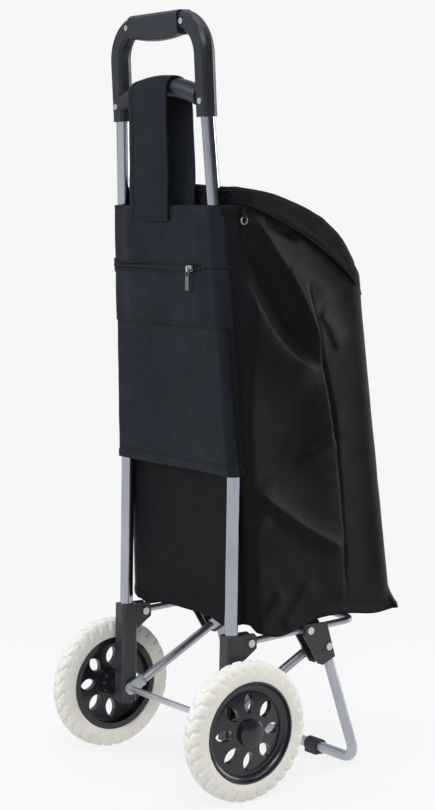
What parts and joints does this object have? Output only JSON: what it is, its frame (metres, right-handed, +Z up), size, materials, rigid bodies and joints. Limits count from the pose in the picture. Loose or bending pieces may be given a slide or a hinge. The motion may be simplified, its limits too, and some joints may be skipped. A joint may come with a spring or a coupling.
{
  "type": "shopping trolley",
  "caption": "Wheeled folding shopping trolley: soft flap-topped bag on a tube frame with moulded grip, carry strap, zipped rear pocket and fold-out stand.",
  "frame": {"origin": "centre of the bounding box at floor level", "axes": "+Z up, +X to the right-hand wheel, +Y towards the front of the bag, user stands on -Y"},
  "size_m": [0.3206, 0.3294, 0.91],
  "materials": {
    "upright_steel": "satin",
    "grip_plastic": "satin",
    "bright_steel": "bright",
    "bracket_plastic": "satin",
    "black_plastic": "matt",
    "tyre": "matt",
    "gloss_hub": "gloss",
    "bush_plastic": "matt",
    "frame_steel": "satin",
    "foot_rubber": "matt",
    "board": "matt",
    "bag_cloth": "woven"
  },
  "bodies": {
    "frame": {"left_upright_tube": "upright_steel", "right_upright_tube": "upright_steel", "grip_front_shell": "grip_plastic", "grip_rear_shell": "grip_plastic", "grip_screws": "bright_steel", "crossbar": "grip_plastic", "left_sleeve_bracket": "bracket_plastic", "right_sleeve_bracket": "bracket_plastic", "tube_end_plugs": "black_plastic", "ear_rivets": "bright_steel", "axle": "bright_steel", "axle_spacers": "black_plastic", "axle_washers": "bright_steel", "axle_push_nuts": "bright_steel", "bag_body": "bag_cloth", "base_board": "board", "rear_panel": "bag_cloth", "rear_pocket": "bag_cloth", "pocket_zip": "bag_cloth", "carry_strap": "bag_cloth", "mouth_rings": "bright_steel"},
    "flap": {"bag_flap": "bag_cloth"},
    "slider": {"zip_slider": "bright_steel"},
    "puller": {"zip_puller": "bright_steel"},
    "left_wheel": {"left_tyre": "tyre", "left_hub": "gloss_hub", "left_hub_bush": "bush_plastic", "left_hub_cap": "gloss_hub"},
    "right_wheel": {"right_tyre": "tyre", "right_hub": "gloss_hub", "right_hub_bush": "bush_plastic", "right_hub_cap": "gloss_hub"},
    "platform": {"platform_rod": "frame_steel"},
    "stand": {"left_bracket": "bracket_plastic", "right_bracket": "bracket_plastic", "upper_rivets": "bright_steel", "lower_rivets": "bright_steel", "stand_tube": "frame_steel", "left_foot_pad": "foot_rubber", "right_foot_pad": "foot_rubber"},
    "braces": {"left_brace": "frame_steel", "right_brace": "frame_steel", "brace_rivets": "bright_steel"}
  },
  "joints": [
    {"name": "left_wheel_spin", "type": "hinge", "parent": "frame", "child": "left_wheel", "pos_m": [-0.1418, -0.08225, 0.0825], "axis": [1, 0, 0], "continuous": true},
    {"name": "right_wheel_spin", "type": "hinge", "parent": "frame", "child": "right_wheel", "pos_m": [0.1418, -0.08225, 0.0825], "axis": [1, 0, 0], "continuous": true},
    {"name": "platform_fold", "type": "hinge", "parent": "frame", "child": "platform", "pos_m": [0, -0.05725, 0.178], "axis": [1, 0, 0], "range_deg": [0, 85], "deforming": ["bag_body", "base_board", "rear_panel", "rear_pocket", "bag_flap"]},
    {"name": "stand_fold", "type": "hinge", "parent": "platform", "child": "stand", "pos_m": [0, 0.03045, 0.1831], "axis": [1, 0, 0], "range_deg": [-99.8, 0.1]},
    {"name": "brace_fold", "type": "hinge", "parent": "frame", "child": "braces", "pos_m": [0, -0.08225, 0.0825], "axis": [1, 0, 0], "range_deg": [-0.1, 43.3]},
    {"name": "flap_open", "type": "hinge", "parent": "frame", "child": "flap", "pos_m": [0, -0.08875, 0.71], "axis": [1, 0, 0], "range_deg": [0, 90]},
    {"name": "pocket_zip_slide", "type": "slide", "parent": "frame", "child": "slider", "axis": [1, 0, 0], "range_m": [-0.148, 0.012]},
    {"name": "puller_swing", "type": "hinge", "parent": "slider", "child": "puller", "pos_m": [0.06, -0.11405, 0.61283], "axis": [-1, 0, 0], "range_deg": [0, 110]}
  ],
  "couplings": [
    {"joint": "stand_fold", "follows": "platform_fold", "ratio": -1.1734},
    {"joint": "brace_fold", "follows": "platform_fold", "ratio": 0.5076}
  ]
}
